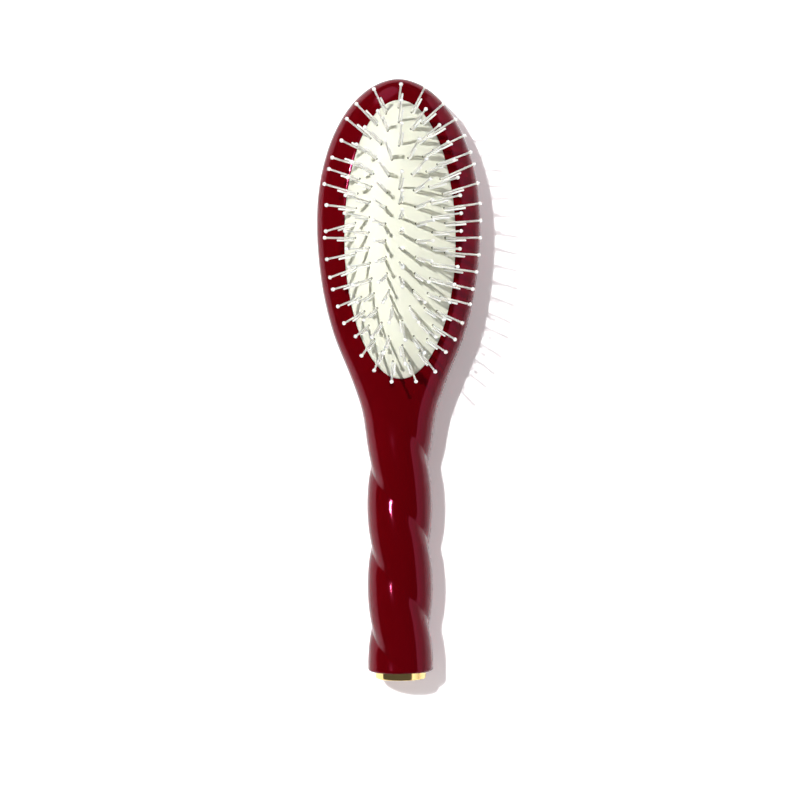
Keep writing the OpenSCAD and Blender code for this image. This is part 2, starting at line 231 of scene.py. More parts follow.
class CapSizes(bpy.types.PropertyGroup):
    cap_d: length("Diameter", "Diameter of the end cap", 0.0191)
    thickness: length("Thickness", "Thickness of the end cap", 0.0028)
    edge_round: length("Edge", "Rounding of the cap's outer edge", 0.0005)
    crown: length("Crown", "How far the end face bulges inside its edge", 0.00012)
    stud_d: length("Stud", "Diameter of the stud", 0.004)
    stud_reach: length("Stud reach", "Length of the stud inside the grip", 0.008)
    insert_wall: length("Insert wall", "Wall of the insert around the stud", 0.0012)
    stud_fit: length("Stud fit", "Gap of the stud and the insert in their holes", 0.00005)


class BrushColours(bpy.types.PropertyGroup):
    acetate: colour("Acetate", "Deep red of the body", (0.138, 0.0001, 0.0018))
    acetate_streak: colour("Acetate streak", "Flow marks in the body", (0.156, 0.0002, 0.003))
    acetate_gloss: colour("Acetate gloss", "Tint of what the body mirrors", (1.0, 0.12, 0.29))
    rubber: colour("Rubber", "Ivory of the cushion", (0.93, 0.94, 0.79))
    # Painted shade: this dark colour inside each quill's hole stands in for the shade there
    hole_painted_shade: colour("Hole", "Rubber inside the quills' holes", (0.14, 0.14, 0.09))
    nylon: colour("Nylon", "Milky white of the quills", (0.975, 0.965, 0.9))
    gold: colour("Gold", "Plating of the end cap", (0.95, 0.7, 0.29))
    steel: colour("Steel", "Stud inside the grip", (0.6, 0.6, 0.62))
    brass: colour("Brass", "Insert inside the grip", (0.72, 0.55, 0.25))
    floor: colour("Floor", "Matt floor under the brush", (0.97, 0.97, 0.97))
    # Its pink paints bounce light from the red brush into the floor's shadow
    floor_glow: colour("Floor glow", "Tint of the light that lifts the floor", (1.0, 0.87, 0.9))


class StageSizes(bpy.types.PropertyGroup):
    lens: FloatProperty(
        name="Lens", description="Focal length", default=90.88, subtype="DISTANCE_CAMERA"
    )
    distance: length("Distance", "From the camera to the point that it turns about", 0.7565)
    aim_height: length("Aim height", "Height of that point above the floor", 0.014)
    aim_x: length("Aim X", "Camera's place across", 0.00025, -1.0)
    aim_y: length("Aim Y", "Camera's place along", -0.00772, -1.0)
    roll: turn("Roll", "Turn of the view about the length of the brush", 3.13)
    pitch: turn("Pitch", "Turn of the view about its width", 0.045)
    spin: turn("Spin", "Turn of the picture", 0.3)
    floor_size: length("Floor", "Side of the floor", 4.0)
    floor_lift: amount("Floor lift", "Light of the floor that only the eye and gloss see", 0.262)
    far_lift: amount("Far lift", "The same for the eye away from the brush", 1.6)
    lift_start: length("Lift start", "From the floor's middle to where the lift grows", 0.03)
    lift_end: length("Lift end", "From the floor's middle to the full lift", 0.9)
    key_place: location("Key place", "Place of the key lamp", (-0.377, 0.268, 0.973))
    key_power: watts("Key", "Power of the key lamp", 28.6)
    key_radius: length("Key radius", "Radius of the key lamp", 0.008)
    floor_key_power: watts("Floor key", "More of the key lamp for the floor alone", 25.9)
    quill_fill_place: location("Quill fill place", "Lamp for the quills alone", (0.5, -0.1, 0.8))
    quill_fill_power: watts("Quill fill", "Power of the lamp for the quills alone", 16.0)
    soft_radius: length("Soft radius", "Radius of the floor key and the quill fill", 0.05)
    glint_power: watts("Glint", "Power of the key lamp's halo in gloss", 16.0)
    glint_radius: length("Glint radius", "Radius of that halo", 0.045)
    card_place: location("Card place", "Middle of the far card", (-0.22, 0.945, 0.705))
    card_aim: location("Card aim", "Point that the far card faces", (0.0, 0.1, 0.0))
    card_light: amount("Card light", "Brightness of the card that the head's tip mirrors", 2.0)
    card_size: length("Card size", "Width of the far card", 0.55)
    fill: amount("Fill", "Even light from all around", 0.24)
    dark: amount("Dark", "What gloss sees of the dark room overhead", 0.1)
    panel_low: amount("Panel foot", "Brightness of the right panel at its foot", 0.65)
    panel_high: amount("Panel top", "Brightness of the right panel at its top", 1.7)
    panel_rows: count("Panel rows", "Rows that the panel is stacked from", 6)
    panel_x: length("Panel place", "From the brush to the panel", 0.9)
    panel_height: length("Panel height", "Height of the panel", 0.75)
    panel_length: length("Panel length", "Length of the panel", 2.4)


def smooth(t):
    """Eases from 0 to 1: the square of t times three minus twice t, with t held from 0 to 1."""
    c = np.clip(t, 0, 1)
    return c * c * (3 - 2 * c)


def ramp(y, low, high):
    """Eases from 0 at low to 1 at high."""
    return smooth((y - low) / (high - low))


def mix(a, b, t):
    """The value that lies the share t of the way from a to b."""
    return a + (b - a) * t


def arch(t, power):
    """Height of a superellipse quarter over t: one minus t to the power, to one over the power."""
    return np.clip(1 - np.minimum(np.abs(t), 1) ** power, 0, None) ** (1 / power)


def signed_power(v, power):
    """The size of v to the power, with the sign of v."""
    return np.sign(v) * np.abs(v) ** power


def unit(v):
    """Vectors scaled to length one."""
    return v / np.linalg.norm(v, axis=-1, keepdims=True)


def xyz(x, y, z):
    """Points with these coordinates, any of which may be one number for all."""
    return np.stack(np.broadcast_arrays(x, y, z), -1)


def around(number, start=0.0):
    """Angles evenly round a circle."""
    return np.linspace(start, start + math.tau, number, endpoint=False)


def measures(scene):
    """The sidebar's sizes and the lines worked out from them, all in metres."""
    body, pad = scene.brush_body, scene.brush_cushion
    quill, cap = scene.brush_quills, scene.brush_cap
    m = SimpleNamespace(body=body, pad=pad, quill=quill, cap=cap)
    m.tip_y = body.overall_length / 2
    m.butt_y = -body.overall_length / 2
    m.grip_end_y = m.butt_y + cap.thickness
    m.widest_y = m.tip_y - body.crown_reach
    m.throat_y = m.widest_y - body.throat_drop
    m.grip_y = m.throat_y - body.throat_length
    m.head_half = body.head_width / 2
    m.strand_r = body.strand_d / 2
    m.grip_z = m.strand_r + body.strand_offset + body.grip_lift

    for name, share in HEAD_SHARES.items():
        setattr(m, name, m.widest_y + share * body.crown_reach)
    for name, share in THROAT_SHARES.items():
        setattr(m, name, m.grip_y + share * body.throat_length)
    m.groove_y = m.grip_y + GROOVE_SHARE * body.twist_pitch
    m.fade_y = m.groove_y + FADE_SHARE * body.twist_pitch
    m.land_cut = body.waist_height * (1 - arch(body.land_half / m.head_half, BACK_POWER))

    ratio = body.throat_drop / body.shoulder_reach
    m.throat_half = m.head_half * arch(ratio, 2)
    m.throat_slope = m.head_half / body.shoulder_reach * ratio / arch(ratio, 2)

    m.pad_half = pad.width / 2
    m.pad_reach = pad.reach / 2
    m.pad_y = m.tip_y - pad.tip_frame - m.pad_reach
    m.edge_z = float(front_height(m, m.pad_half, m.pad_y))
    m.row_half = ROW_SHARE * m.pad_reach
    m.row_y = m.pad_y + SHIFT_SHARE * m.pad_reach
    m.lip_top = m.edge_z - pad.lip_drop
    m.lip_bottom = m.lip_top - pad.lip_thickness
    m.recess_floor = m.edge_z - pad.recess_depth
    m.skirt_half = m.pad_half - pad.fit
    m.under_half = m.skirt_half - pad.rubber
    m.hole_r = cap.stud_d / 2 + cap.stud_fit + cap.insert_wall + cap.stud_fit
    return m


def half_width(m, y):
    """Half width of the outline: two ellipse quarters, then a curve that levels out at the grip."""
    t = (m.throat_y - y) / m.body.throat_length
    throat = (
        m.throat_half * (1 - 3 * t**2 + 2 * t**3)
        - m.throat_slope * m.body.throat_length * (t - 2 * t**2 + t**3)
        + m.strand_r * (3 * t**2 - 2 * t**3)
    )
    crown = m.head_half * arch((y - m.widest_y) / m.body.crown_reach, 2)
    shoulder = m.head_half * arch((m.widest_y - y) / m.body.shoulder_reach, 2)
    above = [y >= m.widest_y, y >= m.throat_y, y >= m.grip_y]
    return np.select(above, [crown, shoulder, throat], m.strand_r)


def middle_z(m, y):
    """Height of the middle line of the section."""
    return mix(m.grip_z, m.body.waist_height, ramp(y, m.grip_y, m.axis_level_y))


def front_z(m, y):
    """Height of the front face on the centre line: level over the head, arched towards its tip."""
    top = m.body.waist_height + m.body.front_rise
    crown = arch((y - m.bulge_y) / (m.tip_y - m.bulge_y), CROWN_POWER)
    return np.where(
        y >= m.bulge_y,
        m.body.waist_height + m.body.front_rise * crown,
        mix(m.grip_z + m.strand_r, top, ramp(y, m.front_foot_y, m.front_level_y)),
    )


def back_z(m, y):
    """Height of the back face on the centre line, arched towards the tip as the front is."""
    crown = arch((y - m.back_crown_y) / (m.tip_y - m.back_crown_y), BACK_CROWN_POWER)
    return np.where(
        y >= m.back_crown_y,
        m.body.waist_height - (m.body.waist_height + m.land_cut) * crown,
        mix(m.grip_z - m.strand_r, -m.land_cut, ramp(y, m.back_foot_y, m.back_level_y)),
    )


def section_power(m, y, head_power):
    """Roundness of the section: round at the grip, easing to the head's own power."""
    return mix(2, head_power, ramp(y, m.section_foot_y, m.section_head_y))


def front_height(m, x, y):
    """Height of the front face over a point of the plan, above the fade of the twist."""
    rise = front_z(m, y) - middle_z(m, y)
    return middle_z(m, y) + rise * arch(x / half_width(m, y), section_power(m, y, FRONT_POWER))


def groove_angle(m, y):
    """Angle of the groove between the strands, which turns once in each pitch below the fade."""
    return math.pi + math.tau * (np.minimum(y, m.fade_y) - m.groove_y) / m.body.twist_pitch


def strand_reach(m, angle, y):
    """Distance from the axis to the joint outline of two equal round strands side by side, less the
    hollow about the groove, which thins out as a bell curve of the angle from the groove."""
    share = smooth((m.fade_y - y) / (m.fade_y - m.grip_y))
    away = np.arcsin(np.clip(np.abs(np.sin(angle - groove_angle(m, y))), 0, 1))
    offset = m.body.strand_offset * share
    outline = offset * np.sin(away) + np.sqrt(m.strand_r**2 - (offset * np.cos(away)) ** 2)
    return outline - m.body.hollow_depth * share * np.exp(-((away / HOLLOW_ANGLE) ** 2))


def rounding(m, y):
    """How far the skin draws in over the quarter circle at the grip's end."""
    r = m.body.rim_round
    d = np.clip(y - m.grip_end_y, 0, r)
    return r - np.sqrt(np.clip(r * r - (r - d) ** 2, 0, None))


def skin(m, angle, y):
    """Points of the body's skin: at each y a section whose half width and rises follow the outline,
    with cosine and sine of the angle raised to two over the section's power. Angle 0 is +X."""
    c, s = np.cos(angle), np.sin(angle)
    front = s > 0
    power = section_power(m, y, np.where(front, FRONT_POWER, BACK_POWER))
    grow = (strand_reach(m, angle, y) - rounding(m, y)) / m.strand_r
    rise = np.where(front, front_z(m, y) - middle_z(m, y), middle_z(m, y) - back_z(m, y))
    x = half_width(m, y) * signed_power(c, 2 / power) * grow
    z = middle_z(m, y) + rise * signed_power(s, 2 / power) * grow
    return xyz(x, y, np.maximum(z, 0))


def oval_reach(m, a):
    """Half length of the cushion's oval of half width a."""
    inside = mix(m.row_half, m.pad_reach, np.clip(a / m.pad_half, 0, 1) ** OVAL_POWER)
    return inside + np.maximum(a - m.pad_half, 0)


def oval_y(m, a):
    """Middle of that oval along the brush."""
    return mix(m.row_y, m.pad_y, np.clip(a / m.pad_half, 0, 1) ** SHIFT_POWER)


def oval(m, a, u, z):
    """Points of the oval of half width a at the angles u and heights z."""
    return xyz(a * np.cos(u), oval_y(m, a) + oval_reach(m, a) * np.sin(u), z)


def dome_z(m, a):
    """Height of the cushion's dome over the oval of half width a."""
    return m.edge_z + m.pad.crown_rise * (1 - np.clip(a / m.pad_half, 0, 1) ** DOME_POWER)


def grid_faces(rows, columns, closed):
    """Quads of a grid of points, row after row; closed joins the last column to the first."""
    i = np.arange(rows - 1)[:, None] * columns
    j = np.arange(columns if closed else columns - 1)[None]
    k = (j + 1) % columns
    return np.stack([i + j, i + k, i + columns + k, i + columns + j], -1).reshape(-1, 4)


def make_piece(name, grids, material):
    """Makes one mesh from grids of points, each (points in rows and columns, closed). Points that
    meet are welded, so rows that shrink to a point or fold onto themselves close the surface."""
    points, faces, start = [], [], 0
    for grid, closed in grids:
        rows, columns = grid.shape[-3:-1]
        one = grid_faces(rows, columns, closed)
        copies = grid.reshape(-1, rows * columns, 3)
        steps = start + np.arange(len(copies))[:, None, None] * rows * columns
        points.append(copies.reshape(-1, 3))
        faces.append((one[None] + steps).reshape(-1, 4))
        start += copies.shape[0] * rows * columns
    mesh = bpy.data.meshes.new(name)
    mesh.from_pydata(np.concatenate(points).tolist(), [], np.concatenate(faces).tolist())
    work = bmesh.new()
    work.from_mesh(mesh)
    bmesh.ops.remove_doubles(work, verts=work.verts, dist=WELD)
    bmesh.ops.recalc_face_normals(work, faces=work.faces)
    work.to_mesh(mesh)
    work.free()
    mesh.shade_smooth()
    mesh.set_sharp_from_angle(angle=HARD_EDGE)
    mesh.materials.append(material)
    piece = bpy.data.objects.new(name, mesh)
    bpy.context.scene.collection.objects.link(piece)
    return piece


def new_material(name, **values):
    """A material, its tree and its one shader, whose sockets are set to the given values."""
    material = bpy.data.materials.new(name)
    material.use_nodes = True
    tree = material.node_tree
    shader = tree.nodes["Principled BSDF"]
    for socket, value in values.items():
        shader.inputs[socket.replace("_", " ")].default_value = value
    return material, tree, shader


def feed(shader, **values):
    """Links values to a shader's sockets."""
    for socket, value in values.items():
        shader.id_data.links.new(value, shader.inputs[socket.replace("_", " ")])


def add_node(tree, kind, inputs=None, **settings):
    """Adds a shader node. An input's value is a number, a colour or a socket to link from."""
    node = tree.nodes.new("ShaderNode" + kind)
    for key, value in settings.items():
        setattr(node, key, value)
    for key, value in (inputs or {}).items():
        if isinstance(value, bpy.types.NodeSocket):
            tree.links.new(value, node.inputs[key])
        else:
            node.inputs[key].default_value = value
    return node


def noise(tree, scale, stretch=(1, 1, 1), detail=3.0, roughness=0.5):
    """Noise of so many grains to the metre in the piece's own space, stretched along its axes."""
    place = add_node(tree, "TexCoord").outputs["Object"]
    turned = add_node(tree, "Mapping", {"Vector": place, "Scale": stretch})
    return add_node(
        tree,
        "TexNoise",
        {"Vector": turned.outputs[0], "Scale": scale, "Detail": detail, "Roughness": roughness},
    ).outputs["Fac"]


def between(tree, value, low, high, start=0.0, end=1.0):
    """Carries a value from the range start to end over to low to high."""
    return add_node(
        tree,
        "MapRange",
        {"Value": value, "From Min": start, "From Max": end, "To Min": low, "To Max": high},
    ).outputs["Result"]


def combine(tree, operation, first, second):
    """Puts two values together by multiplying them or the like."""
    return add_node(tree, "Math", {0: first, 1: second}, operation=operation).outputs[0]


def vector_length(tree, vector):
    """The length of a vector."""
    node = add_node(tree, "VectorMath", {0: vector}, operation="LENGTH")
    return node.outputs["Value"]


# Sockets of a Mix node: its factor, and its two colours and their mixture
MIX_FACTOR, MIX_FIRST, MIX_SECOND, MIX_RESULT = 0, 6, 7, 2


def blend_colours(tree, factor, first, second):
    """Mixes two colours, or sockets that hold colours."""
    node = tree.nodes.new("ShaderNodeMix")
    node.data_type = "RGBA"
    for index, value in ((MIX_FACTOR, factor), (MIX_FIRST, first), (MIX_SECOND, second)):
        if isinstance(value, bpy.types.NodeSocket):
            tree.links.new(value, node.inputs[index])
        else:
            node.inputs[index].default_value = (*value, 1.0)
    return node.outputs[MIX_RESULT]


def scaled(tint, share):
    """A colour made lighter or dimmer."""
    return tuple(min(1.0, share * c) for c in tint)


def bump(tree, height, strength, distance):
    """A bump from a height."""
    return add_node(
        tree, "Bump", {"Height": height, "Strength": strength, "Distance": distance}
    ).outputs["Normal"]


# Patterns of the finishes: [grains to the metre, stretch across, along and up, detail, roughness]
EVEN = (1, 1, 1)
FLOW = (60, (1, 0.2, 1), 4, 0.55)
HAZE = (220, EVEN, 5, 0.6)
WAVE = (45, (1, 0.6, 1), 1, 0.5)
RUBBER_CLOUD = (90, EVEN, 3, 0.5)
RUBBER_GRAIN = (2600, EVEN, 2, 0.5)
NYLON_CLOUD = (420, EVEN, 2, 0.5)
METAL_CLOUD = (260, EVEN, 4, 0.5)
METAL_MARKS = 1800
# Stretch of each pattern's values that shows, where it isn't all of them
FLOW_SHOWS = (0.4, 0.7)
HAZE_SHOWS = (0.35, 0.7)
METAL_CLOUD_SHOWS = (0.3, 0.7)
# Edge of the painted shade in a quill's hole, in radii of the hole
HOLE_SHADE_EDGE = (0.75, 1.15)
# Least and most roughness of each finish, and how the marks in the metals stretch along the grip
ACETATE_ROUGHNESS = (0.08, 0.12)
RUBBER_ROUGHNESS = (0.42, 0.58)
NYLON_ROUGHNESS = (0.3, 0.42)
METAL_FINISHES = {
    "gold": ((0.08, 0.16), 0.05),
    "steel": ((0.25, 0.4), 0.1),
    "brass": ((0.3, 0.45), 0.1),
}
# Strength and depth in metres of the unevenness of each surface
WAVE_BUMP = (0.06, 0.001)
GRAIN_BUMP = (0.12, 0.0001)
MARK_BUMP = (0.04, 0.0001)
# How much lighter or dimmer the clouds in each colour are
RUBBER_LIGHT = 1.03
NYLON_DIM = 0.97
METAL_DIM = 0.93


def acetate_material(colours):
    """Polished deep red acetate: faint flow marks along the brush, a hand-polished waviness and a
    little handling haze in the gloss."""
    gloss = (*colours.acetate_gloss, 1.0)
    material, tree, shader = new_material("polished_acetate", IOR=1.5, Specular_Tint=gloss)
    flow = between(tree, noise(tree, *FLOW), 0, 1, *FLOW_SHOWS)
    feed(
        shader,
        Base_Color=blend_colours(tree, flow, colours.acetate, colours.acetate_streak),
        Roughness=between(tree, noise(tree, *HAZE), *ACETATE_ROUGHNESS, *HAZE_SHOWS),
        Normal=bump(tree, noise(tree, *WAVE), *WAVE_BUMP),
    )
    return material


def rubber_material(colours):
    """Satin ivory rubber with a fine moulded grain, and painted shade inside the holes that the quills come
    out of: each point knows the way to the nearest hole as a multiple of the hole's radius."""
    material, tree, shader = new_material(
        "ivory_rubber",
        IOR=1.5,
        Subsurface_Weight=0.05,
        Subsurface_Scale=0.0005,
        Subsurface_Radius=(1.0, 0.9, 0.6),
    )
    cloud = noise(tree, *RUBBER_CLOUD)
    tint = blend_colours(tree, cloud, colours.rubber, scaled(colours.rubber, RUBBER_LIGHT))
    way = add_node(tree, "Attribute", attribute_name="hole_way").outputs["Vector"]
    shade_near = add_node(tree, "Attribute", attribute_name="hole_near").outputs["Fac"]
    # Painted shade: the rubber turns to the dark hole colour within each hole's edge
    inside = between(tree, vector_length(tree, way), 1, 0, *HOLE_SHADE_EDGE)
    hole = combine(tree, "MULTIPLY", inside, shade_near)
    grain = noise(tree, *RUBBER_GRAIN)
    feed(
        shader,
        Base_Color=blend_colours(tree, hole, tint, colours.hole_painted_shade),
        Roughness=between(tree, grain, *RUBBER_ROUGHNESS),
        Normal=bump(tree, grain, *GRAIN_BUMP),
    )
    return material


def nylon_material(colours):
    """Milky white nylon, smooth and a little cloudy."""
    material, tree, shader = new_material(
        "milky_nylon",
        IOR=1.4,
        Specular_IOR_Level=0.2,
        Subsurface_Weight=0.8,
        Subsurface_Scale=0.001,
        Subsurface_Radius=(1.0, 0.95, 0.9),
    )
    cloud = noise(tree, *NYLON_CLOUD)
    feed(
        shader,
        Base_Color=blend_colours(tree, cloud, scaled(colours.nylon, NYLON_DIM), colours.nylon),
        Roughness=between(tree, cloud, *NYLON_ROUGHNESS),
    )
    return material


def metal_material(name, tint, roughness, stretch):
    """Polished or turned metal: fine marks along the grip, a faint cloud in colour and gloss."""
    material, tree, shader = new_material(name, Metallic=1.0)
    marks = noise(tree, METAL_MARKS, (1, stretch, 1))
    cloud = noise(tree, *METAL_CLOUD)
    feed(
        shader,
        Base_Color=blend_colours(tree, cloud, scaled(tint, METAL_DIM), tint),
        Roughness=between(tree, cloud, *roughness, *METAL_CLOUD_SHOWS),
        Normal=bump(tree, marks, *MARK_BUMP),
    )
    return material


# Points round the body, and rows of its grip, of the grip's rounded end, of the head up to its
# widest line and of the crown beyond, of the frame, of the frame's edge and of the recess's floor
BODY_SIDES = 160
GRIP_ROWS = 200
END_ROWS = 8
HEAD_ROWS = 84
CROWN_ROWS = 84
FRAME_ROWS = 34
FRAME_EDGE_ROWS = 5
FLOOR_ROWS = 5
# How the frame's rows crowd towards its sides, and the angle over which that ends at the throat
FRAME_CROWD = 2.6
CORNER_ANGLE = math.radians(40)


def grip_circle(m, radius, y, angle):
    """Points of a circle about the grip's axis."""
    return xyz(radius * np.cos(angle), y, m.grip_z + radius * np.sin(angle))


def grip_rings(m):
    """The twisted grip: rings whose points turn with the groove, from the fade of the twist down
    over the rounded end, and then across the end face and into the hole for the insert."""
    rows = np.linspace(m.fade_y, m.grip_end_y + m.body.rim_round, GRIP_ROWS)
    arc = np.linspace(0, math.pi / 2, END_ROWS)[1:]
    end_rows = m.grip_end_y + m.body.rim_round * (1 - np.sin(arc))
    y = np.concatenate([rows, end_rows])[:, None]
    round_share = around(BODY_SIDES)[None]
    rings = skin(m, groove_angle(m, y) + round_share, y)
    angle = groove_angle(m, m.grip_end_y) + round_share[0]
    bottom_y = m.grip_end_y + m.cap.stud_reach + m.cap.stud_fit
    hole = ((m.hole_r, m.grip_end_y), (m.hole_r, bottom_y), (0, bottom_y))
    return np.concatenate([rings, [grip_circle(m, radius, y, angle) for radius, y in hole]])


def head_rows(m):
    """Places of the rows along the head: even up to its widest line, then even along the crown."""
    low = np.linspace(m.fade_y, m.widest_y, HEAD_ROWS + 1)
    quarter = np.linspace(0, math.pi / 2, CROWN_ROWS + 1)[1:]
    return np.concatenate([low, m.widest_y + m.body.crown_reach * np.sin(quarter)])


def frame_surface(m):
    """The front of the head: each line runs over the plan from the outline to the cushion's oval at
    the height of the front face, then over the frame's rounded edge and down into the recess."""
    y = head_rows(m)
    side = xyz(half_width(m, y), y, middle_z(m, y))
    side[-1, 0] = 0
    quarter = np.linspace(math.pi / 2, 0, BODY_SIDES // 4 + 1)
    low_right = skin(m, quarter, np.full_like(quarter, m.fade_y))
    flip = np.array([-1, 1, 1])
    right = np.concatenate([low_right[:-1], side])
    outer = np.concatenate([right, (right * flip)[-2:0:-1]])

    corner = np.concatenate([quarter[:-1], 0 * side[:, 0]])
    crowd = mix(FRAME_CROWD, 1, smooth(corner / CORNER_ANGLE))
    crowd = np.concatenate([crowd, crowd[-2:0:-1]])

    u = np.arctan2((outer[:, 1] - m.pad_y) / m.pad_reach, outer[:, 0] / m.pad_half)
    r = m.body.edge_round
    inner = oval(m, m.pad_half + r, u, 0)
    share = np.linspace(0, 1, FRAME_ROWS)[:, None] ** crowd
    plan = mix(outer[None], inner[None], share[..., None])
    plan[1:, :, 2] = front_height(m, plan[1:, :, 0], plan[1:, :, 1])
    rim_z = plan[-1, :, 2]

    turn_in = np.linspace(0, math.pi / 2, FRAME_EDGE_ROWS)[1:, None]
    edge = oval(m, m.pad_half + r * (1 - np.sin(turn_in)), u, rim_z - r * (1 - np.cos(turn_in)))
    groove_half = m.pad_half + m.pad.lip_reach
    high, low = m.lip_top + m.pad.fit, m.lip_bottom - m.pad.fit
    profile = [(m.pad_half, high), (groove_half, high), (groove_half, low), (m.pad_half, low)]
    profile += [(a, m.recess_floor) for a in np.linspace(m.pad_half, 0, FLOOR_ROWS)]
    walls = np.stack([oval(m, a, u, z) for a, z in profile])
    return np.concatenate([plan, edge, walls])


def back_surface(m):
    """The back of the head: half rings from side to side under the middle line."""
    y = head_rows(m)
    angle = np.linspace(math.pi, math.tau, BODY_SIDES // 2 + 1)
    rings = skin(m, angle[None], y[:, None])
    rings[:, 0] = rings[:, -1] = xyz(half_width(m, y), y, middle_z(m, y))
    rings[:, 0, 0] *= -1
    rings[-1] = (0, m.tip_y, m.body.waist_height)
    return rings


# Columns and rows of the cushion, and how its rows crowd towards the middle
PAD_COLUMNS = 720
PAD_ROWS = 84
PAD_CROWD = 1.3
# Rows of its underside
UNDER_ROWS = 9
# Sideways part of a quill's lean from which its hole lies the full hole shift behind its foot
FULL_LEAN = 0.2


def hole_ways(m, quills, x, y):
    """The way from points of the plan to the nearest hole, in radii of a hole, and how near it is,
    from 0 to 1. A quill's hole lies behind the foot of its long leg, against the quill's lean."""
    sideways = quills.lean[:, :2]
    back = sideways / np.maximum(np.linalg.norm(sideways, axis=1, keepdims=True), FULL_LEAN)
    holes = quills.foot[:, :2] - quills.side[:, :2] / 2 - back * m.pad.hole_shift
    way, near = np.zeros((*x.shape, 3)), np.zeros_like(x)
    for hole in holes:
        dx, dy = x - hole[0], y - hole[1]
        closer = smooth(2 - 2 * np.hypot(dx, dy) / m.pad.hole_reach)
        own = closer > near
        way[own] = xyz(dx, dy, 0)[own] / m.pad.hole_r
        near[own] = closer[own]
    return way, near


def cushion_surface(m, quills):
    """The rubber cushion: a dome over ovals with a dimple at each quill's foot, down its skirt,
    round its lip, and back under the dome a wall's thickness below it."""
    u = around(PAD_COLUMNS, -math.pi / 2)[None]
    a = m.skirt_half * np.linspace(0, 1, PAD_ROWS)[:, None] ** PAD_CROWD
    top = oval(m, a, u, dome_z(m, a))
    near = hole_ways(m, quills, top[..., 0], top[..., 1])[1]
    top[..., 2] -= m.pad.dimple * near
    lip_half = m.skirt_half + m.pad.lip_reach
    lip = [(m.skirt_half, m.lip_top), (lip_half, m.lip_top)]
    lip += [(lip_half, m.lip_bottom), (m.under_half, m.lip_bottom)]
    walls = np.stack([oval(m, b, u[0], z) for b, z in lip])
    b = np.linspace(m.under_half, 0, UNDER_ROWS)[:, None]
    under = oval(m, b, u, dome_z(m, b) - m.pad.rubber)
    return np.concatenate([top, walls, under])


# Sides of a quill, rows of its ball, and points and rows of the ovals of the backing
QUILL_SIDES = 8
BALL_ROWS = 5
BACKING_COLUMNS = 120
BACKING_ROWS = 5
# Steps that an oval is measured in
ARC_STEPS = 720
# Rounded end of a short leg, as shares of its radius: how far down it starts, and its flat's radius
END_DROP_SHARE = 0.35
END_FLAT_SHARE = 0.65


def ring_quills(m, share, number, side_lean, end_lean, strays=()):
    """Quills evenly along an oval, clockwise from its top: feet, leans and steps to short legs.
    They lean outwards, more to the sides than to the ends, and a few stray from that."""
    a = share * m.pad_half
    steps = math.pi / 2 - math.tau * np.arange(ARC_STEPS + 1) / ARC_STEPS
    way = oval(m, a, steps, 0)
    run = np.concatenate([[0], np.cumsum(np.linalg.norm(np.diff(way, axis=0), axis=1))])
    part = np.arange(number) / number
    u = np.interp(part * run[-1], run, steps)
    foot = oval(m, a, u, dome_z(m, a))
    x = math.sin(side_lean) * np.cos(u) * (1 + SIDE_GAIN_SHARE * np.sin(u))
    y = math.sin(end_lean) * (np.sin(u) + END_BIAS_SHARE)
    lean = xyz(x, y, np.sqrt(1 - x * x - y * y))
    along = unit(xyz(a * np.sin(u), -oval_reach(m, a) * np.cos(u), 0))
    for place, clockwise, outwards in strays:
        forward = along[place]
        lean[place] += clockwise * forward + outwards * np.array([-forward[1], forward[0], 0])
    lean = unit(lean)
    side = unit(along - np.sum(along * lean, axis=1, keepdims=True) * lean)
    turned = (part > TURNED_SHARES[0]) & (part < TURNED_SHARES[1])
    side = side * np.where(turned, -1, 1)[:, None] * m.quill.leg_spacing
    return SimpleNamespace(foot=foot, lean=lean, side=side)


def row_quills(m, number, end_lean):
    """Quills along the row in the middle, leaning towards its ends."""
    t = np.linspace(-1, 1, number)
    y = math.sin(end_lean) * t
    foot = xyz(0, m.row_y + t * m.row_half, dome_z(m, 0))
    side = xyz(m.quill.leg_spacing, 0 * t, 0)
    return SimpleNamespace(foot=foot, lean=xyz(0, y, np.sqrt(1 - y * y)), side=side)


def quill_groups(m):
    """The four groups of quills by name, from the outside in."""
    groups = {}
    for name, share in RING_SHARES.items():
        number, *leans = (getattr(m.quill, name + key) for key in ("_count", "_side", "_end"))
        strays = STRAY_SHARES if name == "outer" else ()
        groups[name] = ring_quills(m, share, number, *leans, strays)
    groups["centre"] = row_quills(m, m.quill.centre_count, m.quill.centre_end)
    return groups


def all_quills(m):
    """Every quill in one group."""
    groups = [vars(group) for group in quill_groups(m).values()]
    joined = {key: np.concatenate([group[key] for group in groups]) for key in groups[0]}
    return SimpleNamespace(**joined)


def legs(foot, lean, heights, radii):
    """Round legs, one a foot, whose rings lie at heights along the lean with the given radii."""
    first = unit(np.cross(lean, (0, 1, 0)))
    second = np.cross(lean, first)
    angle = around(QUILL_SIDES)
    ring = first[:, None] * np.cos(angle)[:, None] + second[:, None] * np.sin(angle)[:, None]
    axis = foot[:, None] + lean[:, None] * heights[..., None]
    return axis[:, :, None] + ring[:, None] * radii[None, :, None, None]


def quill_surfaces(m, quills):
    """The long legs with their balls and the short legs with their rounded ends. A ball's rows
    follow a circle from where it meets the leg to its top."""
    r, ball = m.quill.quill_d / 2, m.quill.ball_d / 2
    number = len(quills.foot)
    root = (m.pad.rubber + m.quill.gap + m.quill.backing / 2) / quills.lean[:, 2]
    neck = math.pi - math.asin(r / ball)
    circle = np.linspace(neck, 0, BALL_ROWS + 1)
    long_heights = np.concatenate([[0, 0], m.quill.long_leg + ball * np.cos(circle)])
    long_radii = np.concatenate([[0, r], ball * np.sin(circle)])
    end = m.quill.short_leg
    short_heights = np.array([0, 0, end - END_DROP_SHARE * r, end, end])
    short_radii = r * np.array([0, 1, 1, END_FLAT_SHARE, 0])
    grids = []
    kinds = ((-0.5, long_heights, long_radii), (0.5, short_heights, short_radii))
    for step, heights, radii in kinds:
        tall = np.tile(heights, (number, 1))
        tall[:, :2] = -root[:, None]
        grids.append((legs(quills.foot + step * quills.side, quills.lean, tall, radii), True))
    return grids


